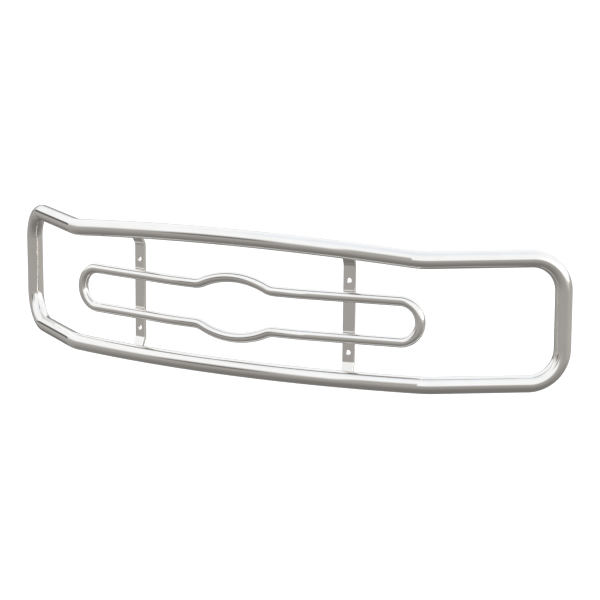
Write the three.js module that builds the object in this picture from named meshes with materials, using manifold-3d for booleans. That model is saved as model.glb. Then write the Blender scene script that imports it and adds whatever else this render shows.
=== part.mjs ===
// Front grille guard for a pickup truck, in millimetres.
//
// A bent hoop of 50 mm tube frames the grille. Two flat steel straps stand behind it: their ends are
// bent forward and welded to the hoop, and their holes take the bolts to the truck's brackets. A bent
// ring of 30 mm tube with a raised middle is welded across the front of the straps.
//
// The hoop and the ring are each two bent tubes, butted over an inner sleeve and welded.
//
// Frame: +X to the right as seen from in front of the truck, +Y towards the truck, +Z up, with the
// origin at the centre of the guard's bounding box. The work points below have a datum of their own,
// in plan the middle of the upper tube's centre line, and the whole group is moved at the end.

import * as THREE from 'three';
import { mergeVertices } from 'three/addons/utils/BufferGeometryUtils.js';
import Module from 'manifold-3d';

const wasm = await Module();
wasm.setup();

// ---------------------------------------------------------------- driving dimensions

const GAP = 0.3; // clearance kept between touching pieces

const HOOP = {
  radius: 25,
  wall: 2,
  sides: 16,
  kinkBend: 116, // centre line bend radii
  cornerBend: 98.5,
  straightBeforeKink: 40,
  // Work points: where the straight stretches of the centre line would meet.
  upper: { middle: [0, 0, 206], kink: [572, 57.5, 181], corner: [906, 313, 177.5] },
  lower: { middle: [0, 8, -183.5], kink: [590, 72, -181], corner: [907.5, 318.5, -189] },
};

const RING = {
  radius: 15,
  wall: 2,
  sides: 12,
  halfHeight: 60.3, // centre line, away from the raised middle
  middleY: 10,
  middleZ: -3,
  middleSweep: 3015, // plan radius between the arms
  armTurnX: 205, // where the plan turns into the straight arms
  armTurnBend: 665,
  armAngle: THREE.MathUtils.degToRad(9.6),
  armEndX: 506, // where the round ends begin
  rise: 29.4, // of the raised middle
  riseHalfWidth: 133.6,
  riseFillet: 70,
  stub: 25, // straight stretch of the upper tube past its round ends
};

const STRAP = {
  x: 350.5,
  width: 35.5,
  thickness: 10,
  holeDiameter: 14,
  upperHoleZ: 103,
  lowerHoleZ: -108.5,
  // Each end is bent forward from the vertical; lengths run from the sharp corner of the front face.
  upper: { cornerZ: 148, turn: THREE.MathUtils.degToRad(32), bend: 16, length: 33.8 },
  lower: { cornerZ: -136.5, turn: THREE.MathUtils.degToRad(23.4), bend: 5, length: 27.9 },
};

const JOINT = {
  weldWidth: 3, // root gap between the two tubes of a butt joint
  sleeveWall: 2,
  hoopSleeveLength: 60,
  ringSleeveLength: 36,
};

// A flare weld fills the wedge between a round tube and a flat face. Offsets are from the tube's axis,
// measured along the flat face: where the wedge starts, and where the bead ends on the flat and tube.
const RING_WELD = { start: 6, flatEnd: 13.2, tubeEnd: 13.8, bulge: 1.2, setback: 1.5 };
const FLANGE_WELD = { start: 9, flatEnd: 14.2, tubeEnd: 19.5, bulge: 1.5, setback: 1.5 };

// Flat steps that each curve of the model is drawn with.
const STEPS = {
  sweep: 5,
  kink: 3,
  corner: 8,
  rise: 4,
  fillet: 3,
  armTurn: 2,
  roundEnd: 12,
  bend: 4,
  hole: 24,
  weldArc: 4,
  axisSearch: 400,
};

// ---------------------------------------------------------------- materials

const finish = (color, roughness) => new THREE.MeshStandardMaterial({ color, roughness, metalness: 1 });

const tubeFinish = () => finish(0xd6d3ce, 0.06);
const strapFinish = () => finish(0xc4c0ba, 0.1);
const sleeveFinish = () => finish(0x8f8c88, 0.45);
const weldFinish = () => finish(0xb9b4ac, 0.3);

// ---------------------------------------------------------------- centre lines

const UP = new THREE.Vector3(0, 0, 1);
const ALONG = new THREE.Vector3(1, 0, 0);
const BACK = new THREE.Vector3(0, 1, 0);

const vector = (coordinates) => new THREE.Vector3(...coordinates);
const station = (point, tangent) => ({ point, tangent });

/** A centre line given by stations. Its parameter runs over them in equal steps, short or long. */
class StationCurve extends THREE.Curve {
  constructor(stations) {
    super();
    this.stations = stations;
  }

  getUtoTmapping(u) {
    return u;
  }

  getPoint(t, target = new THREE.Vector3()) {
    const last = this.stations.length - 1;
    const index = Math.min(Math.floor(t * last), last - 1);
    return target.lerpVectors(this.stations[index].point, this.stations[index + 1].point, t * last - index);
  }

  /** The section's first axis stays as near +Y as the tangent lets it, so every tube has the same frame. */
  computeFrenetFrames() {
    const frames = { tangents: [], normals: [], binormals: [] };
    for (const { tangent } of this.stations) {
      const normal = BACK.clone().addScaledVector(tangent, -BACK.dot(tangent)).normalize();
      frames.tangents.push(tangent);
      frames.normals.push(normal);
      frames.binormals.push(new THREE.Vector3().crossVectors(tangent, normal));
    }
    return frames;
  }
}

/** Stations of a round bend of the centre line at a work point. */
function bendStations(before, vertex, after, radius, steps) {
  const inward = new THREE.Vector3().subVectors(vertex, before).normalize();
  const outward = new THREE.Vector3().subVectors(after, vertex).normalize();
  const turn = inward.angleTo(outward);
  const side = outward.clone().addScaledVector(inward, -outward.dot(inward)).normalize();
  const start = vertex.clone().addScaledVector(inward, -radius * Math.tan(turn / 2));
  return Array.from({ length: steps + 1 }, (_, index) => {
    const angle = (turn * index) / steps;
    const point = start.clone();
    point.addScaledVector(inward, radius * Math.sin(angle));
    point.addScaledVector(side, radius * (1 - Math.cos(angle)));
    const tangent = inward.clone().multiplyScalar(Math.cos(angle)).addScaledVector(side, Math.sin(angle));
    return station(point, tangent);
  });
}

/** The long sweep from a tube's middle, which ends tangent to the line that runs into the kink. */
function sweepStations(middle, kink, straight, steps) {
  const offset = new THREE.Vector3().subVectors(kink, middle);
  const side = offset.clone().addScaledVector(ALONG, -offset.x);
  const setBack = side.length();
  side.normalize();
  const turn = 2 * Math.atan(setBack / (offset.x + straight));
  const radius = (setBack / Math.sin(turn) - straight) / Math.tan(turn / 2);
  return Array.from({ length: steps + 1 }, (_, index) => {
    const angle = (turn * index) / steps;
    const point = middle.clone();
    point.addScaledVector(ALONG, radius * Math.sin(angle));
    point.addScaledVector(side, radius * (1 - Math.cos(angle)));
    const tangent = ALONG.clone().multiplyScalar(Math.cos(angle)).addScaledVector(side, Math.sin(angle));
    return station(point, tangent);
  });
}

/** A whole centre line from its +X half, which starts on the plane of symmetry. */
function mirrored(half) {
  const other = half.slice(1).reverse().map(({ point, tangent }) => station(
    new THREE.Vector3(-point.x, point.y, point.z),
    new THREE.Vector3(tangent.x, -tangent.y, -tangent.z),
  ));
  return [...other, ...half];
}

// ---------------------------------------------------------------- tube solids

function circlePath(radius, sides, target) {
  for (let index = 0; index <= sides; index += 1) {
    const angle = (2 * Math.PI * index) / sides;
    const x = radius * Math.cos(angle);
    const y = radius * Math.sin(angle);
    if (index === 0) target.moveTo(x, y);
    else target.lineTo(x, y);
  }
  return target;
}

/** A section swept along stations. */
function swept(section, stations) {
  return new THREE.ExtrudeGeometry(section, {
    steps: stations.length - 1,
    extrudePath: new StationCurve(stations),
  });
}

/** A pipe along stations, open at both ends. */
function pipe(stations, outerRadius, innerRadius, sides) {
  const section = circlePath(outerRadius, sides, new THREE.Shape());
  section.holes.push(circlePath(innerRadius, sides, new THREE.Path()));
  return swept(section, stations);
}

/** A straight pipe centred on a point. */
function straightPipe(centre, direction, length, outerRadius, innerRadius, sides) {
  const end = (distance) => station(centre.clone().addScaledVector(direction, distance), direction);
  return pipe([end(-length / 2), end(length / 2)], outerRadius, innerRadius, sides);
}

/** How far a tube stops short of the middle of its butt joint. */
const BUTT_SETBACK = JOINT.weldWidth / 2 + GAP;

/** The inner sleeve of a butt joint, and the ring of weld in its root gap, ground and polished flush. */
function buttJoint(name, centre, direction, tube, sleeveLength) {
  const innerRadius = tube.radius - tube.wall;
  const fitRadius = innerRadius - GAP / Math.cos(Math.PI / tube.sides);
  const pipeAt = (length, outer, inner) => straightPipe(centre, direction, length, outer, inner, tube.sides);
  return [
    mesh(`${name}_sleeve`, pipeAt(sleeveLength, fitRadius, fitRadius - JOINT.sleeveWall), sleeveFinish()),
    mesh(`${name}_butt_weld`, pipeAt(JOINT.weldWidth, tube.radius, innerRadius), tubeFinish()),
  ];
}

// ---------------------------------------------------------------- hoop

const hoopCorners = { upper: vector(HOOP.upper.corner), lower: vector(HOOP.lower.corner) };
const hoopJointCentre = hoopCorners.upper.clone().lerp(hoopCorners.lower, 0.5);

function hoopSweep(run) {
  return sweepStations(vector(run.middle), vector(run.kink), HOOP.straightBeforeKink, STEPS.sweep);
}

/** The +X half of one of the hoop's tubes, from its middle out to the joint in the hoop's side. */
function hoopHalf(run) {
  const [kink, corner] = [run.kink, run.corner].map(vector);
  const sweep = hoopSweep(run);
  const sweepEnd = sweep.at(-1).point;
  const side = new THREE.Vector3().subVectors(hoopJointCentre, corner).normalize();
  const end = hoopJointCentre.clone().addScaledVector(side, -BUTT_SETBACK);
  return [
    ...sweep,
    ...bendStations(sweepEnd, kink, corner, HOOP.kinkBend, STEPS.kink),
    ...bendStations(kink, corner, hoopJointCentre, HOOP.cornerBend, STEPS.corner),
    station(end, side),
  ];
}

function hoopTube(name, run) {
  const stations = mirrored(hoopHalf(run));
  return mesh(name, pipe(stations, HOOP.radius, HOOP.radius - HOOP.wall, HOOP.sides), tubeFinish());
}

function hoopJoint(sideName, sign) {
  const centre = hoopJointCentre.clone();
  const direction = new THREE.Vector3().subVectors(hoopCorners.upper, hoopCorners.lower).normalize();
  centre.x *= sign;
  direction.x *= sign;
  return buttJoint(`hoop_${sideName}`, centre, direction, HOOP, JOINT.hoopSleeveLength);
}

// ---------------------------------------------------------------- ring

const sweepTurn = Math.asin(RING.armTurnX / RING.middleSweep);
const turnHalfLength = RING.armTurnBend * Math.tan((RING.armAngle - sweepTurn) / 2);
const armTurnStart = RING.armTurnX - turnHalfLength * Math.cos(sweepTurn);
const armTurnEnd = RING.armTurnX + turnHalfLength * Math.cos(RING.armAngle);

/** The ring's plan: how far back its centre line lies at x, and the angle it runs at. */
function ringPlan(x) {
  if (x <= armTurnStart) {
    const angle = Math.asin(x / RING.middleSweep);
    return { y: RING.middleY + RING.middleSweep * (1 - Math.cos(angle)), angle };
  }
  const start = ringPlan(armTurnStart);
  if (x <= armTurnEnd) {
    const angle = Math.asin(Math.sin(start.angle) + (x - armTurnStart) / RING.armTurnBend);
    return { y: start.y + RING.armTurnBend * (Math.cos(start.angle) - Math.cos(angle)), angle };
  }
  const end = ringPlan(armTurnEnd);
  return { y: end.y + (x - armTurnEnd) * Math.tan(RING.armAngle), angle: RING.armAngle };
}

// The raised middle is an arc that two fillets of the opposite hand bring down to the straight run.
const filletGap = RING.riseFillet - RING.rise;
const riseRadius = (RING.riseHalfWidth ** 2 + filletGap ** 2 - RING.riseFillet ** 2) / (2 * RING.rise);
const riseEnd = (RING.riseHalfWidth * riseRadius) / (riseRadius + RING.riseFillet);

/** Height of the raised middle above the straight run at x, and its slope. */
function ringRise(x) {
  if (x <= riseEnd) {
    const height = Math.sqrt(riseRadius ** 2 - x ** 2);
    return { z: RING.rise - riseRadius + height, slope: -x / height };
  }
  if (x < RING.riseHalfWidth) {
    const run = RING.riseHalfWidth - x;
    const height = Math.sqrt(RING.riseFillet ** 2 - run ** 2);
    return { z: RING.riseFillet - height, slope: -run / height };
  }
  return { z: 0, slope: 0 };
}

/** Centre line station of the ring's upper (sign +1) or lower (sign -1) run. */
function ringStation(x, sign) {
  const plan = ringPlan(x);
  const rise = ringRise(x);
  const point = new THREE.Vector3(x, plan.y, RING.middleZ + sign * (RING.halfHeight + rise.z));
  const tangent = new THREE.Vector3(1, Math.tan(plan.angle), sign * rise.slope).normalize();
  return station(point, tangent);
}

function ringRun(lastX, sign) {
  const stretches = [
    [riseEnd, STEPS.rise],
    [RING.riseHalfWidth, STEPS.fillet],
    [armTurnStart, 1],
    [armTurnEnd, STEPS.armTurn],
    [lastX, 1],
  ];
  const stations = [ringStation(0, sign)];
  let from = 0;
  for (const [to, steps] of stretches) {
    for (let step = 1; step <= steps; step += 1) {
      stations.push(ringStation(from + ((to - from) * step) / steps, sign));
    }
    from = to;
  }
  return stations;
}

const armDirection = new THREE.Vector3(Math.cos(RING.armAngle), Math.sin(RING.armAngle), 0);
const armBack = new THREE.Vector3(-Math.sin(RING.armAngle), Math.cos(RING.armAngle), 0);

/** The round end, from the upper run over the outside to the lower run. */
function roundEndStations() {
  const centre = new THREE.Vector3(RING.armEndX, ringPlan(RING.armEndX).y, RING.middleZ);
  return Array.from({ length: STEPS.roundEnd }, (_, index) => {
    const angle = (Math.PI * (index + 1)) / STEPS.roundEnd;
    const point = centre.clone();
    point.addScaledVector(armDirection, RING.halfHeight * Math.sin(angle));
    point.addScaledVector(UP, RING.halfHeight * Math.cos(angle));
    const tangent = armDirection.clone().multiplyScalar(Math.cos(angle)).addScaledVector(UP, -Math.sin(angle));
    return station(point, tangent);
  });
}

const ringJointX = RING.armEndX - RING.stub * Math.cos(RING.armAngle);
const ringJointCentre = ringStation(ringJointX, -1).point;

function ringUpperTube() {
  const backwards = armDirection.clone().negate();
  const end = ringJointCentre.clone().addScaledVector(armDirection, BUTT_SETBACK);
  const half = [...ringRun(RING.armEndX, 1), ...roundEndStations(), station(end, backwards)];
  const geometry = pipe(mirrored(half), RING.radius, RING.radius - RING.wall, RING.sides);
  return mesh('ring_upper_tube', geometry, tubeFinish());
}

function ringLowerTube() {
  const lastX = ringJointX - BUTT_SETBACK * Math.cos(RING.armAngle);
  const geometry = pipe(mirrored(ringRun(lastX, -1)), RING.radius, RING.radius - RING.wall, RING.sides);
  return mesh('ring_lower_tube', geometry, tubeFinish());
}

function ringJoint(sideName, sign) {
  const centre = ringJointCentre.clone();
  const direction = armDirection.clone();
  centre.x *= sign;
  direction.x *= sign;
  return buttJoint(`ring_${sideName}`, centre, direction, RING, JOINT.ringSleeveLength);
}

// ---------------------------------------------------------------- straps

// A strap stands square to the ring's arms, with its front face against the back of the ring's tubes.
// Its own frame has x backwards from the front face, y up, and z along its width.
const strapFront = new THREE.Vector3(STRAP.x, 0, 0);
strapFront.y = ringPlan(STRAP.x).y + (RING.radius + GAP) / Math.cos(RING.armAngle);

function strapFrame(sign) {
  const along = new THREE.Vector3(armDirection.x, sign * armDirection.y, 0);
  const back = new THREE.Vector3(sign * armBack.x, armBack.y, 0);
  const origin = new THREE.Vector3(sign * strapFront.x, strapFront.y, 0);
  return new THREE.Matrix4().makeBasis(back, UP, along).setPosition(origin);
}

/** Side view of a strap: a bar bent forward at both ends. */
function strapOutline() {
  const { thickness, upper, lower } = STRAP;
  const bendStart = ({ cornerZ, turn, bend }, sign) => cornerZ - sign * bend * Math.tan(turn / 2);
  const frontEnd = ({ cornerZ, turn, length }, sign) => [
    -length * Math.sin(turn),
    cornerZ + sign * length * Math.cos(turn),
  ];
  const backEnd = (end, sign) => {
    const [x, y] = frontEnd(end, sign);
    return [x + thickness * Math.cos(end.turn), y + sign * thickness * Math.sin(end.turn)];
  };
  const outline = new THREE.Shape();
  outline.moveTo(...backEnd(lower, -1));
  outline.lineTo(...frontEnd(lower, -1));
  outline.absarc(-lower.bend, bendStart(lower, -1), lower.bend, -lower.turn, 0, false);
  outline.absarc(-upper.bend, bendStart(upper, 1), upper.bend, 0, upper.turn, false);
  outline.lineTo(...frontEnd(upper, 1));
  outline.lineTo(...backEnd(upper, 1));
  outline.absarc(-upper.bend, bendStart(upper, 1), upper.bend + thickness, upper.turn, 0, true);
  outline.absarc(-lower.bend, bendStart(lower, -1), lower.bend + thickness, 0, -lower.turn, true);
  outline.closePath();
  return outline;
}

/** An outline in the strap's frame, extruded across its width less a setback at each edge. */
function acrossStrap(outline, setback, frame) {
  const depth = STRAP.width - 2 * setback;
  const geometry = new THREE.ExtrudeGeometry(outline, {
    depth,
    steps: 1,
    bevelEnabled: false,
    curveSegments: STEPS.bend,
  });
  return geometry.translate(0, 0, -depth / 2).applyMatrix4(frame);
}

function drill(z, frame) {
  const radius = STRAP.holeDiameter / 2;
  const length = 4 * STRAP.thickness;
  const geometry = new THREE.CylinderGeometry(radius, radius, length, STEPS.hole);
  return geometry.rotateZ(Math.PI / 2).translate(STRAP.thickness / 2, z, 0).applyMatrix4(frame);
}

function strap(name, sign) {
  const frame = strapFrame(sign);
  let solid = toSolid(acrossStrap(strapOutline(), 0, frame));
  for (const z of [STRAP.upperHoleZ, STRAP.lowerHoleZ]) {
    solid = solid.subtract(toSolid(drill(z, frame)));
  }
  return mesh(name, toGeometry(solid), strapFinish());
}

// ---------------------------------------------------------------- welds between tubes and straps

/**
 * Section of a flare weld. The tube's axis is at axis, the flat face lies at flatDistance from it in the
 * direction towards, and the wedge opens in the direction opening.
 */
function flareOutline(weld, tubeRadius, flatDistance, axis, towards, opening) {
  const at = (depth, offset) => axis.clone()
    .addScaledVector(towards, depth)
    .addScaledVector(opening, offset);
  const round = tubeRadius + GAP;
  const flat = flatDistance - GAP;
  const onTube = (offset) => at(Math.sqrt(round ** 2 - offset ** 2), offset);
  const toe = onTube(weld.tubeEnd);
  const crown = toe.clone().lerp(at(flat, weld.flatEnd), 0.5).addScaledVector(opening, weld.bulge);
  const points = [at(flat, weld.start), at(flat, weld.flatEnd), crown];
  for (let step = 0; step <= STEPS.weldArc; step += 1) {
    points.push(onTube(weld.tubeEnd + ((weld.start - weld.tubeEnd) * step) / STEPS.weldArc));
  }
  return new THREE.Shape(THREE.ShapeUtils.isClockWise(points) ? points.reverse() : points);
}

/** The weld under a ring tube, in the wedge between it and the strap's front face. */
function ringWeld(name, sideSign, runSign) {
  const axis = new THREE.Vector2(-(RING.radius + GAP), RING.middleZ + runSign * RING.halfHeight);
  const towards = new THREE.Vector2(1, 0);
  const opening = new THREE.Vector2(0, -1);
  const outline = flareOutline(RING_WELD, RING.radius, RING.radius + GAP, axis, towards, opening);
  return mesh(name, acrossStrap(outline, RING_WELD.setback, strapFrame(sideSign)), weldFinish());
}

/** Where a hoop tube's axis passes the middle of a strap, in the strap's frame. */
function hoopAxisAtStrap(sweep) {
  const toStrap = strapFrame(1).invert();
  const local = sweep.map(({ point }) => point.clone().applyMatrix4(toStrap));
  const nearest = local.reduce((best, point) => (Math.abs(point.z) < Math.abs(best.z) ? point : best));
  return new THREE.Vector2(nearest.x, nearest.y);
}

/**
 * The weld behind a strap's end, in the wedge between its square-cut end face and the hoop. The hoop
 * crosses the strap a few degrees out of square, so the bead is cut back to the tube's own surface.
 */
function flangeWeld(name, sideSign, end, run, sign) {
  const [middle, kink] = [run.middle, run.kink].map(vector);
  const sweep = sweepStations(middle, kink, HOOP.straightBeforeKink, STEPS.axisSearch);
  const axis = hoopAxisAtStrap(sweep);
  const along = new THREE.Vector2(-Math.sin(end.turn), sign * Math.cos(end.turn));
  const opening = new THREE.Vector2(Math.cos(end.turn), sign * Math.sin(end.turn));
  const frontEnd = new THREE.Vector2(0, end.cornerZ).addScaledVector(along, end.length);
  const flatDistance = axis.clone().sub(frontEnd).dot(along);
  const towards = along.clone().negate();
  const innerRadius = HOOP.radius - HOOP.wall;
  const outline = flareOutline(FLANGE_WELD, innerRadius, flatDistance, axis, towards, opening);
  const bead = toSolid(acrossStrap(outline, FLANGE_WELD.setback, strapFrame(sideSign)));
  const clearRadius = HOOP.radius + GAP / Math.cos(Math.PI / HOOP.sides);
  const bar = swept(circlePath(clearRadius, HOOP.sides, new THREE.Shape()), mirrored(hoopSweep(run)));
  return mesh(name, toGeometry(bead.subtract(toSolid(bar))), weldFinish());
}

// ---------------------------------------------------------------- solids and meshes

function toSolid(geometry) {
  const bare = geometry.clone();
  bare.deleteAttribute('normal');
  bare.deleteAttribute('uv');
  const merged = mergeVertices(bare);
  return new wasm.Manifold(new wasm.Mesh({
    numProp: 3,
    vertProperties: new Float32Array(merged.attributes.position.array),
    triVerts: new Uint32Array(merged.index.array),
  }));
}

function toGeometry(solid) {
  const { vertProperties, triVerts } = solid.getMesh();
  const geometry = new THREE.BufferGeometry();
  geometry.setAttribute('position', new THREE.BufferAttribute(vertProperties, 3));
  geometry.setIndex(new THREE.BufferAttribute(triVerts, 1));
  geometry.computeVertexNormals();
  return geometry;
}

function mesh(name, geometry, material) {
  const part = new THREE.Mesh(geometry, material);
  part.name = name;
  return part;
}

// ---------------------------------------------------------------- assembly

const guard = new THREE.Group();
guard.add(hoopTube('hoop_upper_tube', HOOP.upper), hoopTube('hoop_lower_tube', HOOP.lower));
guard.add(ringUpperTube(), ringLowerTube());

for (const [sideName, sign] of [['left', -1], ['right', 1]]) {
  guard.add(strap(`strap_${sideName}`, sign));
  guard.add(...hoopJoint(sideName, sign), ...ringJoint(sideName, sign));
  guard.add(ringWeld(`weld_ring_upper_${sideName}`, sign, 1));
  guard.add(ringWeld(`weld_ring_lower_${sideName}`, sign, -1));
  guard.add(flangeWeld(`weld_hoop_upper_${sideName}`, sign, STRAP.upper, HOOP.upper, 1));
  guard.add(flangeWeld(`weld_hoop_lower_${sideName}`, sign, STRAP.lower, HOOP.lower, -1));
}

const centre = new THREE.Box3().setFromObject(guard).getCenter(new THREE.Vector3());
guard.position.copy(centre.negate());

export default guard;
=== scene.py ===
"""The looks of the front grille guard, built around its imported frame.

Metres, +X to the right as seen from in front of the truck, +Y back towards the truck, +Z up.
The tubes, straps and welds repeat the CAD's driving dimensions with fine steps.
"""

import math

import bmesh
import bpy
from mathutils import Matrix, Vector


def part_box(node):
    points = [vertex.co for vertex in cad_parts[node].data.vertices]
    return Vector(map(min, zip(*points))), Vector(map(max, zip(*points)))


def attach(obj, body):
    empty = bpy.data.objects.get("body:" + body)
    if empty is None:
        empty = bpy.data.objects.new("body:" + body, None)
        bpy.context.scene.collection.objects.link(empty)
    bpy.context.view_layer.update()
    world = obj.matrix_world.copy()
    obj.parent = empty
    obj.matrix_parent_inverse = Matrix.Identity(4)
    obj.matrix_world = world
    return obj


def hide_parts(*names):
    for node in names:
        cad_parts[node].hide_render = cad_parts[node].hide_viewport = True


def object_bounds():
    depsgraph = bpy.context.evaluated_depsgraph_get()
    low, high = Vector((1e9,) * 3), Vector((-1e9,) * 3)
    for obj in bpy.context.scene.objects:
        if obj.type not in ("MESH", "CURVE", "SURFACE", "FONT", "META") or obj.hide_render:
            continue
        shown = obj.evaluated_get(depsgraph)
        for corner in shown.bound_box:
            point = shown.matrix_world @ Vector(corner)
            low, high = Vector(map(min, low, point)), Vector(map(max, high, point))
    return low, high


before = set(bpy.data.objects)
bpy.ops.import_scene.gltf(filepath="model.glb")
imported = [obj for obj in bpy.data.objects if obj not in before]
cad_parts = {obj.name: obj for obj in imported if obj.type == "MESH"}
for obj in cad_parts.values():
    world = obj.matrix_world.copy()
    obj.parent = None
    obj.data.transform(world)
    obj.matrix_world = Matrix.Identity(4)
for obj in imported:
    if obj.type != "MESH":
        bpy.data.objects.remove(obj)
CAD_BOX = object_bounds()

# ---------------------------------------------------------------- driving dimensions

HOOP_RADIUS = 0.025
HOOP_WALL = 0.002
HOOP_SIDES = 80
HOOP_KINK_BEND = 0.116
HOOP_CORNER_BEND = 0.0985
HOOP_STRAIGHT_BEFORE_KINK = 0.040
# Work points of the centre lines, from the middle of the upper tube in plan.
HOOP_UPPER = {
    "middle": (0, 0, 0.206),
    "kink": (0.572, 0.0575, 0.181),
    "corner": (0.906, 0.313, 0.1775),
}
HOOP_LOWER = {
    "middle": (0, 0.008, -0.1835),
    "kink": (0.590, 0.072, -0.181),
    "corner": (0.9075, 0.3185, -0.189),
}

RING_RADIUS = 0.015
RING_WALL = 0.002
RING_SIDES = 64
RING_HALF_HEIGHT = 0.0603
RING_MIDDLE_Y = 0.010
RING_MIDDLE_Z = -0.003
RING_MIDDLE_SWEEP = 3.015
RING_ARM_TURN_X = 0.205
RING_ARM_TURN_BEND = 0.665
RING_ARM_ANGLE = math.radians(9.6)
RING_ARM_END_X = 0.506
RING_RISE = 0.0294
RING_RISE_HALF_WIDTH = 0.1336
RING_RISE_FILLET = 0.070
RING_STUB = 0.025

STRAP_X = 0.3505
STRAP_WIDTH = 0.0355
STRAP_THICKNESS = 0.010
STRAP_EDGE = 0.0012
STRAP_SHARPEST_CURVE = math.radians(35)
HOLE_RADIUS = 0.007
HOLE_HEIGHTS = (0.103, -0.1085)
STRAP_UPPER = {"corner": 0.148, "turn": math.radians(32), "bend": 0.016, "length": 0.0338}
STRAP_LOWER = {"corner": -0.1365, "turn": math.radians(23.4), "bend": 0.005, "length": 0.0279}

# Flare welds fill the wedge between a round tube and a flat face. Offsets run along the flat face, from
# the tube's axis: where the wedge starts, and where the bead ends on the flat and on the tube.
RING_WELD = {"start": 0.006, "flat_end": 0.0132, "tube_end": 0.0138, "bulge": 0.0012}
FLANGE_WELD = {"start": 0.009, "flat_end": 0.0142, "tube_end": 0.0195, "bulge": 0.0015}
WELD_SETBACK = 0.0015
WELD_TAPER = 0.004
WELD_END_SIZE = 0.3
RIPPLE_PITCH = 0.0017
RIPPLE_HEIGHT = 0.00022
RIPPLE_SWEEP = 0.0022

GAP = 0.0003
BUTT_WELD_WIDTH = 0.003
SLEEVE_WALL = 0.002
HOOP_SLEEVE_LENGTH = 0.060
RING_SLEEVE_LENGTH = 0.036
SLEEVE_CHAMFER = 0.0005

# How far apart the rings of vertices are along a tube's outer and inner walls, in its bends. They are wider
# apart in the long sweeps and on the straights, by these factors.
HOOP_PITCHES = (0.003, 0.010)
RING_PITCHES = (0.0025, 0.008)
SWEEP_PITCHES = 6
STRAIGHT_PITCHES = 10
AXIS_PITCH = 0.01
BEND_STEPS = 24
HOLE_SIDES = 64
EDGE_STEPS = 4
WELD_FACE_STEPS = 12
WELD_BACK_STEPS = 6
RIPPLE_STEPS = 8

CAMERA_PLACE = Vector((2.7406, -5.1398, 1.1567))
CAMERA_YAW = 0.46812
CAMERA_PITCH = 0.19858
CAMERA_ROLL = 0.01005
CAMERA_LENS = 119.057
CAMERA_SENSOR = 36

# ---------------------------------------------------------------- centre lines

UP = Vector((0, 0, 1))
ALONG = Vector((1, 0, 0))
BACK = Vector((0, 1, 0))

# The vertex attribute that the materials' polishing lines follow. Its third value runs along the piece.
GRAIN = "grain"

# The work points' datum in the frame: the hoop's front and top are its upper tube's middle.
HOOP_LOW, HOOP_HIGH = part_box("hoop_upper_tube")
DATUM = Vector((0, HOOP_LOW.y + HOOP_RADIUS, HOOP_HIGH.z - HOOP_RADIUS - HOOP_UPPER["middle"][2]))


def placed(work_point):
    return Vector(work_point) + DATUM


def arc(start, forward, side, radius, turn, pitch):
    """Points and tangents of an arc that leaves start along forward and bends towards side."""
    steps = max(2, math.ceil(turn * radius / pitch))
    for step in range(steps + 1):
        angle = turn * step / steps
        point = start + forward * (radius * math.sin(angle)) + side * (radius * (1 - math.cos(angle)))
        yield point, forward * math.cos(angle) + side * math.sin(angle)


def bend(before, vertex, after, radius, pitch):
    """A round bend at a work point."""
    inward = (vertex - before).normalized()
    outward = (after - vertex).normalized()
    turn = inward.angle(outward)
    side = (outward - inward * outward.dot(inward)).normalized()
    return list(arc(vertex - inward * (radius * math.tan(turn / 2)), inward, side, radius, turn, pitch))


def long_sweep(middle, kink, pitch):
    """The long sweep from a tube's middle, which ends tangent to the line that runs into the kink."""
    offset = kink - middle
    side = offset - ALONG * offset.x
    set_back = side.length
    turn = 2 * math.atan(set_back / (offset.x + HOOP_STRAIGHT_BEFORE_KINK))
    radius = (set_back / math.sin(turn) - HOOP_STRAIGHT_BEFORE_KINK) / math.tan(turn / 2)
    return list(arc(middle, ALONG, side.normalized(), radius, turn, pitch))


def both_halves(half):
    """A whole centre line from its +X half, which starts on the plane of symmetry."""
    other = [
        (Vector((-point.x, point.y, point.z)), Vector((tangent.x, -tangent.y, -tangent.z)))
        for point, tangent in reversed(half[1:])
    ]
    return other + half


def refined(stations, pitch):
    """The same line with its straight stretches cut to the pitch."""
    line = [stations[0]]
    for (start, _), (end, tangent) in zip(stations, stations[1:]):
        steps = max(1, math.ceil((end - start).length / pitch))
        if steps > 1:
            line += [(start.lerp(end, step / steps), tangent) for step in range(1, steps)]
        line.append((end, tangent))
    return line


# ---------------------------------------------------------------- meshes


def section_axes(tangent):
    """Two directions square to a line: one near +Y, and one square to both."""
    normal = (BACK - tangent * BACK.dot(tangent)).normalized()
    return normal, tangent.cross(normal)


def add_rings(mesh, stations, radius, sides):
    """Rings of vertices round a line. Each vertex keeps its place round and along the tube as its grain."""
    layers = mesh.verts.layers.float_vector
    grain = layers.get(GRAIN) or layers.new(GRAIN)
    rings = []
    travelled = 0
    before = stations[0][0]
    for point, tangent in stations:
        travelled += (point - before).length
        before = point
        normal, binormal = section_axes(tangent)
        ring = []
        for side in range(sides):
            across = radius * math.cos(2 * math.pi * side / sides)
            upwards = radius * math.sin(2 * math.pi * side / sides)
            vertex = mesh.verts.new(point + normal * across + binormal * upwards)
            vertex[grain] = (across, upwards, travelled)
            ring.append(vertex)
        rings.append(ring)
    return rings


def add_skin(mesh, rings, outward):
    """Faces between each ring of vertices and the next, looking away from the rings' axis or towards it."""
    for lower, upper in zip(rings, rings[1:]):
        for side in range(len(lower)):
            after = (side + 1) % len(lower)
            corners = [lower[side], lower[after], upper[after], upper[side]]
            mesh.faces.new(corners if outward else corners[::-1]).smooth = True


def sharpen(mesh, ring):
    """Marks the edges round a ring of vertices as sharp."""
    for vertex, after in zip(ring, ring[1:] + ring[:1]):
        mesh.edges.get((vertex, after)).smooth = False


def finish_piece(name, mesh, material):
    """Turns a bmesh into the piece that stands for a CAD node."""
    data = bpy.data.meshes.new(name)
    mesh.normal_update()
    mesh.to_mesh(data)
    mesh.free()
    return place_piece(name, data, material)


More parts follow.
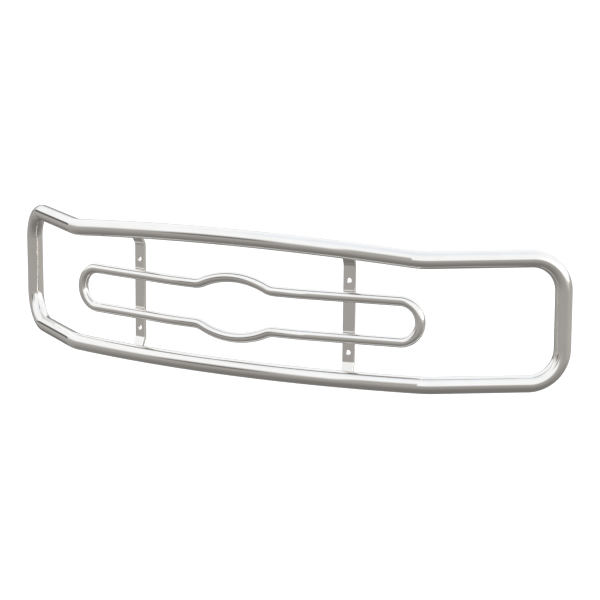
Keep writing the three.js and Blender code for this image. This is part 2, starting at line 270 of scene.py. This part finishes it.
def place_piece(name, data, material):
    """Puts a mesh in the scene in place of a CAD node, fixed to the guard's one body."""
    piece = bpy.data.objects.new(f"{name}_visual", data)
    data.materials.append(material)
    bpy.context.scene.collection.objects.link(piece)
    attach(piece, "root")
    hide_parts(name)
    return piece


def pipe(outer_stations, inner_stations, radius, wall, sides):
    """A tube with both walls and open ends."""
    mesh = bmesh.new()
    outer = add_rings(mesh, outer_stations, radius, sides)
    inner = add_rings(mesh, inner_stations, radius - wall, sides)
    add_skin(mesh, outer, True)
    add_skin(mesh, inner, False)
    add_skin(mesh, [inner[0], outer[0]], True)
    add_skin(mesh, [outer[-1], inner[-1]], True)
    for rim in (outer[0], outer[-1], inner[0], inner[-1]):
        sharpen(mesh, rim)
    return mesh


# ---------------------------------------------------------------- shader nodes


def add_node(tree, kind, **settings):
    node = tree.nodes.new(kind)
    for key, value in settings.items():
        setattr(node, key, value)
    return node


def calculate(tree, operation, *values):
    """The output of a Math node whose inputs are numbers or other nodes' outputs."""
    node = add_node(tree, "ShaderNodeMath", operation=operation)
    for socket, value in zip(node.inputs, values):
        if isinstance(value, bpy.types.NodeSocket):
            tree.links.new(value, socket)
        else:
            socket.default_value = value
    return node.outputs[0]


def color_ramp(tree, value, stops):
    node = add_node(tree, "ShaderNodeValToRGB")
    ramp = node.color_ramp
    while len(ramp.elements) < len(stops):
        ramp.elements.new(0.5)
    for element, (position, color) in zip(ramp.elements, stops):
        element.position = position
        element.color = (*color, 1)
    tree.links.new(value, node.inputs[0])
    return node.outputs[0]


def noise(tree, vector, scale, detail):
    node = add_node(tree, "ShaderNodeTexNoise")
    tree.links.new(vector, node.inputs["Vector"])
    node.inputs["Scale"].default_value = scale
    node.inputs["Detail"].default_value = detail
    return node.outputs["Fac"]


def spread(tree, value, low, high):
    """Maps the middle of a noise's range onto low to high."""
    node = add_node(tree, "ShaderNodeMapRange")
    tree.links.new(value, node.inputs["Value"])
    limits = {"From Min": NOISE_RANGE[0], "From Max": NOISE_RANGE[1], "To Min": low, "To Max": high}
    for key, limit in limits.items():
        node.inputs[key].default_value = limit
    return node.outputs["Result"]


# ---------------------------------------------------------------- materials

NOISE_RANGE = (0.3, 0.7)
LINE_DETAIL = 5
CLOUD_SCALE = 9
CLOUD_DETAIL = 6


def polishing_lines(tree, scale, stretch):
    """Fine lines along a piece, as streaks of noise that follow its grain."""
    grain = add_node(tree, "ShaderNodeAttribute", attribute_name=GRAIN)
    stretched = add_node(tree, "ShaderNodeVectorMath", operation="MULTIPLY")
    tree.links.new(grain.outputs["Vector"], stretched.inputs[0])
    stretched.inputs[1].default_value = (1, 1, 1 / stretch)
    return noise(tree, stretched.outputs["Vector"], scale, LINE_DETAIL)


def steel(name, colors, lines, line_roughness, cloud_roughness, relief):
    """Bare steel. Its colour drifts between the given ones, its roughness has streaks and faint clouds."""
    material = bpy.data.materials.new(name)
    material.use_nodes = True
    tree = material.node_tree
    shader = tree.nodes["Principled BSDF"]
    shader.inputs["Metallic"].default_value = 1
    streaks = polishing_lines(tree, *lines)
    place = add_node(tree, "ShaderNodeTexCoord").outputs["Object"]
    clouds = noise(tree, place, CLOUD_SCALE, CLOUD_DETAIL)
    last = len(colors) - 1
    stops = [(index / last, color) for index, color in enumerate(colors)]
    tree.links.new(color_ramp(tree, spread(tree, clouds, 0, 1), stops), shader.inputs["Base Color"])
    streaky = spread(tree, streaks, *line_roughness)
    cloudy = spread(tree, clouds, *cloud_roughness)
    tree.links.new(calculate(tree, "ADD", streaky, cloudy), shader.inputs["Roughness"])
    bump = add_node(tree, "ShaderNodeBump")
    bump.inputs["Strength"].default_value = 1
    bump.inputs["Distance"].default_value = relief
    tree.links.new(streaks, bump.inputs["Height"])
    tree.links.new(bump.outputs["Normal"], shader.inputs["Normal"])
    return material


TUBE = steel(
    "polished_tube",
    colors=[(0.795, 0.772, 0.742), (0.815, 0.794, 0.766), (0.835, 0.815, 0.79)],
    lines=(210, 60),
    line_roughness=(0.012, 0.026),
    cloud_roughness=(0.0, 0.012),
    relief=0.000008,
)
STRAP = steel(
    "polished_strap",
    colors=[(0.79, 0.767, 0.737), (0.81, 0.789, 0.761), (0.83, 0.81, 0.785)],
    lines=(420, 90),
    line_roughness=(0.03, 0.075),
    cloud_roughness=(0.0, 0.02),
    relief=0.000012,
)
SLEEVE = steel(
    "drawn_sleeve",
    colors=[(0.43, 0.42, 0.405), (0.50, 0.49, 0.475), (0.56, 0.545, 0.525)],
    lines=(600, 40),
    line_roughness=(0.30, 0.42),
    cloud_roughness=(0.0, 0.08),
    relief=0.00002,
)
WELD = steel(
    "weld_bead",
    colors=[(0.50, 0.46, 0.39), (0.60, 0.575, 0.535), (0.62, 0.61, 0.60), (0.50, 0.51, 0.54)],
    lines=(900, 1),
    line_roughness=(0.18, 0.30),
    cloud_roughness=(0.0, 0.06),
    relief=0.00003,
)

# ---------------------------------------------------------------- hoop

# The hoop's two tubes meet halfway up its sides.
HOOP_JOINT = (placed(HOOP_UPPER["corner"]) + placed(HOOP_LOWER["corner"])) / 2
HOOP_SIDE = (placed(HOOP_UPPER["corner"]) - placed(HOOP_LOWER["corner"])).normalized()


def hoop_line(run, pitch):
    """The centre line of one of the hoop's tubes, between its two joints."""
    middle, kink, corner = (placed(run[key]) for key in ("middle", "kink", "corner"))
    sweep = long_sweep(middle, kink, pitch * SWEEP_PITCHES)
    side = (HOOP_JOINT - corner).normalized()
    half = [
        *sweep,
        *bend(sweep[-1][0], kink, corner, HOOP_KINK_BEND, pitch),
        *bend(kink, corner, HOOP_JOINT, HOOP_CORNER_BEND, pitch),
        (HOOP_JOINT - side * (BUTT_WELD_WIDTH / 2), side),
    ]
    return refined(both_halves(half), pitch * STRAIGHT_PITCHES)


def hoop_tube(name, run):
    outer, inner = (hoop_line(run, pitch) for pitch in HOOP_PITCHES)
    mesh = pipe(outer, inner, HOOP_RADIUS, HOOP_WALL, HOOP_SIDES)
    return finish_piece(name, mesh, TUBE)


# ---------------------------------------------------------------- ring

# Half of the ring in plan is a long sweep, a turn and a straight arm. The raised middle is an arc between
# two fillets.
SWEEP_TURN = math.asin(RING_ARM_TURN_X / RING_MIDDLE_SWEEP)
TURN_HALF = RING_ARM_TURN_BEND * math.tan((RING_ARM_ANGLE - SWEEP_TURN) / 2)
ARM_TURN_START = RING_ARM_TURN_X - TURN_HALF * math.cos(SWEEP_TURN)
ARM_TURN_END = RING_ARM_TURN_X + TURN_HALF * math.cos(RING_ARM_ANGLE)
FILLET_GAP = RING_RISE_FILLET - RING_RISE
RISE_RADIUS = (RING_RISE_HALF_WIDTH**2 + FILLET_GAP**2 - RING_RISE_FILLET**2) / (2 * RING_RISE)
RISE_END = RING_RISE_HALF_WIDTH * RISE_RADIUS / (RISE_RADIUS + RING_RISE_FILLET)


def ring_plan(x):
    """How far back the ring's centre line lies at x, and the angle it runs at."""
    if x <= ARM_TURN_START:
        angle = math.asin(x / RING_MIDDLE_SWEEP)
        return RING_MIDDLE_Y + RING_MIDDLE_SWEEP * (1 - math.cos(angle)), angle
    y, angle = ring_plan(ARM_TURN_START)
    if x <= ARM_TURN_END:
        end = math.asin(math.sin(angle) + (x - ARM_TURN_START) / RING_ARM_TURN_BEND)
        return y + RING_ARM_TURN_BEND * (math.cos(angle) - math.cos(end)), end
    y, _ = ring_plan(ARM_TURN_END)
    return y + (x - ARM_TURN_END) * math.tan(RING_ARM_ANGLE), RING_ARM_ANGLE


def ring_rise(x):
    """Height of the raised middle above the straight run at x, and its slope."""
    if x <= RISE_END:
        height = math.sqrt(RISE_RADIUS**2 - x**2)
        return RING_RISE - RISE_RADIUS + height, -x / height
    if x < RING_RISE_HALF_WIDTH:
        run = RING_RISE_HALF_WIDTH - x
        height = math.sqrt(RING_RISE_FILLET**2 - run**2)
        return RING_RISE_FILLET - height, -run / height
    return 0, 0


def ring_station(x, sign):
    """A point of the ring's upper (1) or lower (-1) centre line, and the line's direction there."""
    y, angle = ring_plan(x)
    rise, slope = ring_rise(x)
    point = placed((x, y, RING_MIDDLE_Z + sign * (RING_HALF_HEIGHT + rise)))
    return point, Vector((1, math.tan(angle), sign * slope)).normalized()


def ring_run(last_x, sign, pitch):
    """The +X half of a ring tube's run, from the middle to last_x."""
    stations = [ring_station(0, sign)]
    start = 0
    stretches = [RISE_END, RING_RISE_HALF_WIDTH, ARM_TURN_START, ARM_TURN_END, last_x]
    for end in stretches:
        steps = max(1, math.ceil((end - start) / pitch))
        stations += [ring_station(start + (end - start) * step / steps, sign) for step in range(1, steps + 1)]
        start = end
    return stations


# The ring's two tubes meet in its lower run, a stub's length before the round end.
ARM = Vector((math.cos(RING_ARM_ANGLE), math.sin(RING_ARM_ANGLE), 0))
RING_JOINT_X = RING_ARM_END_X - RING_STUB * math.cos(RING_ARM_ANGLE)
RING_JOINT = ring_station(RING_JOINT_X, -1)[0]


def ring_upper_line(pitch):
    start = ring_station(RING_ARM_END_X, 1)[0]
    round_end = list(arc(start, ARM, -UP, RING_HALF_HEIGHT, math.pi, pitch))[1:]
    end = RING_JOINT + ARM * (BUTT_WELD_WIDTH / 2)
    half = [*ring_run(RING_ARM_END_X, 1, pitch), *round_end, (end, -ARM)]
    return both_halves(half)


def ring_lower_line(pitch):
    last_x = RING_JOINT_X - BUTT_WELD_WIDTH / 2 * math.cos(RING_ARM_ANGLE)
    return both_halves(ring_run(last_x, -1, pitch))


def ring_tube(name, line):
    outer, inner = (line(pitch) for pitch in RING_PITCHES)
    mesh = pipe(outer, inner, RING_RADIUS, RING_WALL, RING_SIDES)
    return finish_piece(name, mesh, TUBE)


# ---------------------------------------------------------------- pieces of the hoop and ring


def revolve(name, centre, direction, profile, sides, material):
    """A closed ring made by turning a profile of (distance along, radius) about a line."""
    mesh = bmesh.new()
    rings = []
    for along, radius in profile:
        rings += add_rings(mesh, [(centre + direction * along, direction)], radius, sides)
    add_skin(mesh, [*rings, rings[0]], True)
    for ring in rings:
        sharpen(mesh, ring)
    return finish_piece(name, mesh, material)


def chamfered_profile(length, outer, inner, chamfer):
    """The profile of a sleeve with its four rims chamfered."""
    half = length / 2
    return [
        (-half, outer - chamfer), (-half + chamfer, outer),
        (half - chamfer, outer), (half, outer - chamfer),
        (half, inner + chamfer), (half - chamfer, inner),
        (-half + chamfer, inner), (-half, inner + chamfer),
    ]


def butt_joint(name, centre, direction, radius, wall, sides, sleeve_length):
    """The sleeve inside two butted tubes, and the weld between them, ground and polished flush."""
    inner = radius - wall
    half = BUTT_WELD_WIDTH / 2
    weld = [(-half, radius), (half, radius), (half, inner), (-half, inner)]
    sleeve = chamfered_profile(sleeve_length, inner - GAP, inner - GAP - SLEEVE_WALL, SLEEVE_CHAMFER)
    revolve(f"{name}_butt_weld", centre, direction, weld, sides, TUBE)
    revolve(f"{name}_sleeve", centre, direction, sleeve, sides, SLEEVE)


def flipped(vector, sign):
    """A point or direction on the +X side, or the one that mirrors it when sign is -1."""
    return Vector((sign * vector.x, vector.y, vector.z))


# ---------------------------------------------------------------- straps


def strap_frame(sign):
    """A strap's own axes: backwards from its front face, up, and along its width."""
    along = Vector((ARM.x, sign * ARM.y, 0))
    back = Vector((-sign * ARM.y, ARM.x, 0))
    reach = (RING_RADIUS + GAP) / math.cos(RING_ARM_ANGLE)
    origin = placed((sign * STRAP_X, ring_plan(STRAP_X)[0] + reach, 0))
    return Matrix.Translation(origin) @ Matrix((back, UP, along)).transposed().to_4x4()


def bend_side(end, sign, offset):
    """The profile of one bent end, from the straight to the tip, at an offset behind the front face."""
    start = sign * (abs(end["corner"]) - end["bend"] * math.tan(end["turn"] / 2))
    radius = end["bend"] + offset
    points = []
    for step in range(BEND_STEPS + 1):
        angle = end["turn"] * step / BEND_STEPS
        points.append((radius * math.cos(angle) - end["bend"], start + sign * radius * math.sin(angle)))
    sine, cosine = math.sin(end["turn"]), math.cos(end["turn"])
    points.append((
        offset * cosine - end["length"] * sine,
        end["corner"] + sign * (end["length"] * cosine + offset * sine),
    ))
    return points


def strap_profile():
    """A strap's side view: down its front face and up its back one."""
    front = bend_side(STRAP_UPPER, 1, 0)[::-1] + bend_side(STRAP_LOWER, -1, 0)
    back = bend_side(STRAP_LOWER, -1, STRAP_THICKNESS)[::-1] + bend_side(STRAP_UPPER, 1, STRAP_THICKNESS)
    return front + back


def extrusion(profile, width):
    """A closed solid from a side view, in the strap's axes."""
    mesh = bmesh.new()
    loops = [[mesh.verts.new((x, y, side * width / 2)) for x, y in profile] for side in (-1, 1)]
    mesh.faces.new(loops[0])
    mesh.faces.new(loops[1][::-1])
    for index in range(len(profile)):
        after = (index + 1) % len(profile)
        mesh.faces.new([loops[0][after], loops[0][index], loops[1][index], loops[1][after]])
    bmesh.ops.recalc_face_normals(mesh, faces=mesh.faces)
    return mesh


def hole_cutter():
    """The drills for a strap's two holes, in its own axes."""
    mesh = bmesh.new()
    for height in HOLE_HEIGHTS:
        middle = Matrix.Translation((STRAP_THICKNESS / 2, height, 0))
        bmesh.ops.create_cone(
            mesh,
            cap_ends=True,
            segments=HOLE_SIDES,
            radius1=HOLE_RADIUS,
            radius2=HOLE_RADIUS,
            depth=4 * STRAP_THICKNESS,
            matrix=middle @ Matrix.Rotation(math.pi / 2, 4, "Y"),
        )
    return mesh


def scratch_object(name, mesh):
    data = bpy.data.meshes.new(name)
    mesh.to_mesh(data)
    mesh.free()
    made = bpy.data.objects.new(name, data)
    bpy.context.scene.collection.objects.link(made)
    return made


def drilled_and_edged(bar, cutter):
    """The mesh of a bar with its holes drilled and its edges broken."""
    drill = bar.modifiers.new("drill", "BOOLEAN")
    drill.object = cutter
    drill.operation = "DIFFERENCE"
    drill.solver = "EXACT"
    edges = bar.modifiers.new("edges", "BEVEL")
    edges.width = STRAP_EDGE
    edges.segments = EDGE_STEPS
    edges.limit_method = "ANGLE"
    edges.angle_limit = STRAP_SHARPEST_CURVE
    normals = bar.modifiers.new("normals", "WEIGHTED_NORMAL")
    normals.keep_sharp = True
    for face in bar.data.polygons:
        face.use_smooth = True
    bpy.context.view_layer.update()
    return bpy.data.meshes.new_from_object(bar.evaluated_get(bpy.context.evaluated_depsgraph_get()))


def strap(name, sign):
    """A bar bent forward at both ends, drilled, with its edges broken."""
    bar = scratch_object("scratch_bar", extrusion(strap_profile(), STRAP_WIDTH))
    cutter = scratch_object("scratch_cutter", hole_cutter())
    data = drilled_and_edged(bar, cutter)
    bpy.data.objects.remove(bar)
    bpy.data.objects.remove(cutter)
    grain = data.attributes.new(GRAIN, "FLOAT_VECTOR", "POINT")
    for vertex, value in zip(data.vertices, grain.data):
        value.vector = vertex.co.xzy
    data.transform(strap_frame(sign))
    data.name = name
    data.materials.clear()
    return place_piece(name, data, STRAP)


# ---------------------------------------------------------------- welds between tubes and straps


def flare_section(weld, radius, flat_distance, axis, towards, opening, size, ripple):
    """The outline of a bead between a tube and a flat face, in the strap's side view.

    towards points from the tube's axis square to the flat face, and opening along it, out of the wedge.
    """
    tube = radius + GAP
    flat = flat_distance - GAP
    tube_end = weld["start"] + (weld["tube_end"] - weld["start"]) * size
    flat_end = weld["start"] + (weld["flat_end"] - weld["start"]) * size

    def at(depth, offset):
        return axis + towards * depth + opening * offset

    def on_tube(offset):
        return at(math.sqrt(tube**2 - offset**2), offset)

    heel = at(flat, flat_end)
    toe = on_tube(tube_end)
    points = [at(flat, weld["start"])]
    for step in range(WELD_FACE_STEPS + 1):
        share = step / WELD_FACE_STEPS
        crown = 4 * share * (1 - share)
        points.append(heel.lerp(toe, share) + opening * (crown * size * (weld["bulge"] + ripple(crown))))
    for step in range(1, WELD_BACK_STEPS + 1):
        points.append(on_tube(tube_end + (weld["start"] - tube_end) * step / WELD_BACK_STEPS))
    return points


def ripple_at(along):
    """The crescent ripples that a weld pool leaves, as a height at a share of the bead's crown."""
    def height(crown):
        phase = (along + RIPPLE_SWEEP * crown) / RIPPLE_PITCH
        return RIPPLE_HEIGHT * (abs(math.sin(math.pi * phase)) - 0.5)
    return height


def bead_rings(mesh, weld, radius, place):
    """A bead's outlines across a strap, smaller towards both ends."""
    grain = mesh.verts.layers.float_vector.new(GRAIN)
    half = STRAP_WIDTH / 2 - WELD_SETBACK
    steps = math.ceil(2 * half / RIPPLE_PITCH) * RIPPLE_STEPS
    for step in range(steps + 1):
        along = half * (2 * step / steps - 1)
        from_end = min((half - abs(along)) / WELD_TAPER, 1)
        size = WELD_END_SIZE + (1 - WELD_END_SIZE) * math.sqrt(1 - (1 - from_end) ** 2)
        axis, towards, opening, flat_distance = place(along)
        ring = []
        ripple = ripple_at(along)
        for point in flare_section(weld, radius, flat_distance, axis, towards, opening, size, ripple):
            vertex = mesh.verts.new((*point, along))
            vertex[grain] = (*point, along)
            ring.append(vertex)
        yield ring


def bead(name, sign, weld, radius, place):
    """A rippled bead across a strap. place(along) gives the wedge's axis, directions and depth there."""
    mesh = bmesh.new()
    rings = list(bead_rings(mesh, weld, radius, place))
    add_skin(mesh, rings, True)
    mesh.faces.new(rings[0][::-1])
    mesh.faces.new(rings[-1])
    bmesh.ops.recalc_face_normals(mesh, faces=mesh.faces)
    bmesh.ops.transform(mesh, matrix=strap_frame(1), verts=mesh.verts)
    if sign < 0:
        bmesh.ops.transform(mesh, matrix=Matrix.Scale(-1, 4, ALONG), verts=mesh.verts)
        bmesh.ops.reverse_faces(mesh, faces=mesh.faces)
    return finish_piece(name, mesh, WELD)


def ring_weld(name, sign, run_sign):
    """The bead under a ring tube, in the wedge between it and the strap's front face."""
    axis = Vector((-(RING_RADIUS + GAP), RING_MIDDLE_Z + run_sign * RING_HALF_HEIGHT))

    def place(along):
        return axis, Vector((1, 0)), Vector((0, -1)), RING_RADIUS + GAP

    return bead(name, sign, RING_WELD, RING_RADIUS, place)


def hoop_axis(run, along):
    """Where a hoop tube's axis passes a strap, in its side view, at a distance along its width."""
    to_strap = strap_frame(1).inverted()
    sweep = long_sweep(placed(run["middle"]), placed(run["kink"]), AXIS_PITCH)
    line = [to_strap @ point for point, _ in sweep]
    for start, end in zip(line, line[1:]):
        if start.z <= along <= end.z:
            return start.lerp(end, (along - start.z) / (end.z - start.z)).xy


def flange_weld(name, sign, end, run, end_sign):
    """The bead behind a strap's end, in the wedge between its square-cut end face and the hoop."""
    outwards = Vector((-math.sin(end["turn"]), end_sign * math.cos(end["turn"])))
    opening = Vector((math.cos(end["turn"]), end_sign * math.sin(end["turn"])))
    tip = Vector((0, end["corner"])) + outwards * end["length"]

    def place(along):
        axis = hoop_axis(run, along)
        return axis, -outwards, opening, (axis - tip).dot(outwards)

    return bead(name, sign, FLANGE_WELD, HOOP_RADIUS, place)


# ---------------------------------------------------------------- camera


def camera():
    """The photo's camera."""
    data = bpy.data.cameras.new("camera")
    data.lens = CAMERA_LENS
    data.sensor_width = CAMERA_SENSOR
    data.clip_end = FLOOR_SIZE * 2
    made = bpy.data.objects.new("camera", data)
    bpy.context.scene.collection.objects.link(made)
    forward = Vector((
        -math.sin(CAMERA_YAW) * math.cos(CAMERA_PITCH),
        math.cos(CAMERA_YAW) * math.cos(CAMERA_PITCH),
        -math.sin(CAMERA_PITCH),
    ))
    right = Vector((math.cos(CAMERA_YAW), math.sin(CAMERA_YAW), 0))
    level = Matrix((right, right.cross(forward), -forward)).transposed()
    turned = level @ Matrix.Rotation(CAMERA_ROLL, 3, "Z")
    made.matrix_world = Matrix.Translation(CAMERA_PLACE) @ turned.to_4x4()
    bpy.context.scene.camera = made


# ---------------------------------------------------------------- studio


def brightness(level):
    """The linear brightness of a display level. 255 is white, and more is brighter than white."""
    return ((level / 255 + 0.055) / 1.055) ** 2.4


GROUND_TINT = (1.03, 1.0, 0.965)
HAZE_TINT = (1.0, 1.0, 1.0)
SKY_TINT = (0.975, 1.0, 1.03)
ZENITH_TINT = (0.95, 1.0, 1.07)
CARD_TINT = (1.03, 1.0, 0.95)
# The studio from straight down to straight up: elevation in degrees, display level in the steel, and tint.
SURROUNDINGS = [
    (-90, 110, GROUND_TINT),
    (-50, 121, GROUND_TINT),
    (-12, 156, GROUND_TINT),
    (-4, 165, GROUND_TINT),
    (0, 185, HAZE_TINT),
    (2, 215, HAZE_TINT),
    (5, 238, SKY_TINT),
    (9, 247, SKY_TINT),
    (50, 247, SKY_TINT),
    (66, 240, ZENITH_TINT),
    (90, 234, ZENITH_TINT),
]
# Soft-edged cards that stand round the guard and show in the steel. Azimuth turns from -Y towards -X. It and
# elevation each give a card's middle and half its size in degrees, and how firm those edges are. A card fades
# out below its foot. A later card stands in front of an earlier one.
CARDS = [
    # Paler ground behind on the right, and a low card on the horizon over it.
    {"azimuth": (-136, 56, 6), "elevation": (-13, 10, 4), "foot": -40, "level": 167},
    {"azimuth": (-150, 24, 4), "elevation": (0, 7, 4), "foot": -3, "level": 165},
    # A pale strip of ground on the right.
    {"azimuth": (-80, 20, 4), "elevation": (-3, 5, 2), "foot": -12, "level": 212},
    # A long grey card in front on the left, with a dark one before it, and a slim one straight ahead.
    {"azimuth": (54, 46, 8), "elevation": (0, 12, 2), "foot": -3, "level": 158},
    {"azimuth": (31, 9.5, 4), "elevation": (1, 16, 2.7), "foot": -4, "level": 108},
    {"azimuth": (3, 8, 8), "elevation": (2, 23.5, 3.6), "foot": -5, "level": 160},
    # A low card behind on the left, with dark ground below it, and a small dark card on the left.
    {"azimuth": (142, 24, 4), "elevation": (2, 14, 4), "foot": -4, "level": 140},
    {"azimuth": (140, 22, 4), "elevation": (-14, 14, 4), "foot": -26, "level": 88},
    {"azimuth": (107, 8.5, 6), "elevation": (3, 5.5, 6), "foot": -2, "level": 84},
    # A softbox on the right.
    {"azimuth": (-90, 24, 6), "elevation": (12, 13, 6), "foot": 1, "level": 400},
]
FOOT_SOFTNESS = 5
STEEL_REFLECTANCE = 0.80


def falloff(tree, value, middle, half, firmness):
    """How far a direction is from a card's middle: 1 at its edge."""
    away = calculate(tree, "ABSOLUTE", calculate(tree, "SUBTRACT", value, middle))
    return calculate(tree, "POWER", calculate(tree, "DIVIDE", away, half), firmness)


def above(tree, elevation, foot):
    """1 above a card's foot and 0 below it."""
    node = add_node(tree, "ShaderNodeMapRange", interpolation_type="SMOOTHSTEP")
    tree.links.new(elevation, node.inputs["Value"])
    node.inputs["From Min"].default_value = foot - FOOT_SOFTNESS
    node.inputs["From Max"].default_value = foot + FOOT_SOFTNESS
    return node.outputs[0]


def in_front(tree, color, card, azimuth, elevation):
    """The surroundings' colour with a card stood in front of them."""
    sideways = falloff(tree, azimuth, *card["azimuth"])
    upwards = falloff(tree, elevation, *card["elevation"])
    inwards = calculate(tree, "MULTIPLY", calculate(tree, "ADD", sideways, upwards), -1)
    cover = calculate(tree, "EXPONENT", inwards)
    mixed = add_node(tree, "ShaderNodeMixRGB")
    footed = calculate(tree, "MULTIPLY", cover, above(tree, elevation, card["foot"]))
    tree.links.new(footed, mixed.inputs["Fac"])
    tree.links.new(color, mixed.inputs["Color1"])
    mixed.inputs["Color2"].default_value = (*(brightness(card["level"]) * share for share in CARD_TINT), 1)
    return mixed.outputs["Color"]


def directions(tree):
    """The azimuth and elevation, in degrees, of each direction in the world."""
    axes = add_node(tree, "ShaderNodeSeparateXYZ")
    tree.links.new(add_node(tree, "ShaderNodeTexCoord").outputs["Generated"], axes.inputs[0])
    across, along, up = (axes.outputs[axis] for axis in "XYZ")
    leftwards, forwards = (calculate(tree, "MULTIPLY", value, -1) for value in (across, along))
    azimuth = calculate(tree, "DEGREES", calculate(tree, "ARCTAN2", leftwards, forwards))
    return azimuth, calculate(tree, "DEGREES", calculate(tree, "ARCSINE", up))


def studio():
    """Pale surroundings: a white sky over a soft horizon and a warm grey ground, with cards before them."""
    world = bpy.data.worlds.new("studio")
    bpy.context.scene.world = world
    world.use_nodes = True
    tree = world.node_tree
    azimuth, elevation = directions(tree)
    stops = [
        ((angle + 90) / 180, [brightness(level) * share for share in tint])
        for angle, level, tint in SURROUNDINGS
    ]
    from_nadir = calculate(tree, "ADD", elevation, 90)
    color = color_ramp(tree, calculate(tree, "DIVIDE", from_nadir, 180), stops)
    for card in CARDS:
        color = in_front(tree, color, card, azimuth, elevation)
    background = tree.nodes["Background"]
    tree.links.new(color, background.inputs["Color"])
    background.inputs["Strength"].default_value = 1 / STEEL_REFLECTANCE


FLOOR_DROP = 0.45
FLOOR_SIZE = 400
FLOOR_COLOR = (0.93, 0.93, 0.93, 1)
FLOOR_GLOW = 0.15


def floor():
    """A plain white floor with a faint glow. The steel doesn't show it, but the studio's own grey ground."""
    mesh = bmesh.new()
    bmesh.ops.create_grid(mesh, x_segments=1, y_segments=1, size=FLOOR_SIZE / 2)
    data = bpy.data.meshes.new("floor")
    mesh.to_mesh(data)
    mesh.free()
    material = bpy.data.materials.new("floor")
    material.use_nodes = True
    shader = material.node_tree.nodes["Principled BSDF"]
    shader.inputs["Base Color"].default_value = FLOOR_COLOR
    shader.inputs["Roughness"].default_value = 1
    shader.inputs["Specular IOR Level"].default_value = 0
    shader.inputs["Emission Color"].default_value = FLOOR_COLOR
    shader.inputs["Emission Strength"].default_value = FLOOR_GLOW
    data.materials.append(material)
    made = bpy.data.objects.new("floor", data)
    made.location.z = CAD_BOX[0][2] - FLOOR_DROP
    made.visible_glossy = False
    bpy.context.scene.collection.objects.link(made)


# ---------------------------------------------------------------- scene

hoop_tube("hoop_upper_tube", HOOP_UPPER)
hoop_tube("hoop_lower_tube", HOOP_LOWER)
ring_tube("ring_upper_tube", ring_upper_line)
ring_tube("ring_lower_tube", ring_lower_line)
for side, sign in (("left", -1), ("right", 1)):
    strap(f"strap_{side}", sign)
    butt_joint(
        f"hoop_{side}", flipped(HOOP_JOINT, sign), flipped(HOOP_SIDE, sign),
        HOOP_RADIUS, HOOP_WALL, HOOP_SIDES, HOOP_SLEEVE_LENGTH,
    )
    butt_joint(
        f"ring_{side}", flipped(RING_JOINT, sign), flipped(ARM, sign),
        RING_RADIUS, RING_WALL, RING_SIDES, RING_SLEEVE_LENGTH,
    )
    ring_weld(f"weld_ring_upper_{side}", sign, 1)
    ring_weld(f"weld_ring_lower_{side}", sign, -1)
    flange_weld(f"weld_hoop_upper_{side}", sign, STRAP_UPPER, HOOP_UPPER, 1)
    flange_weld(f"weld_hoop_lower_{side}", sign, STRAP_LOWER, HOOP_LOWER, -1)
camera()
studio()
floor()
bpy.context.scene.view_settings.view_transform = "Standard"
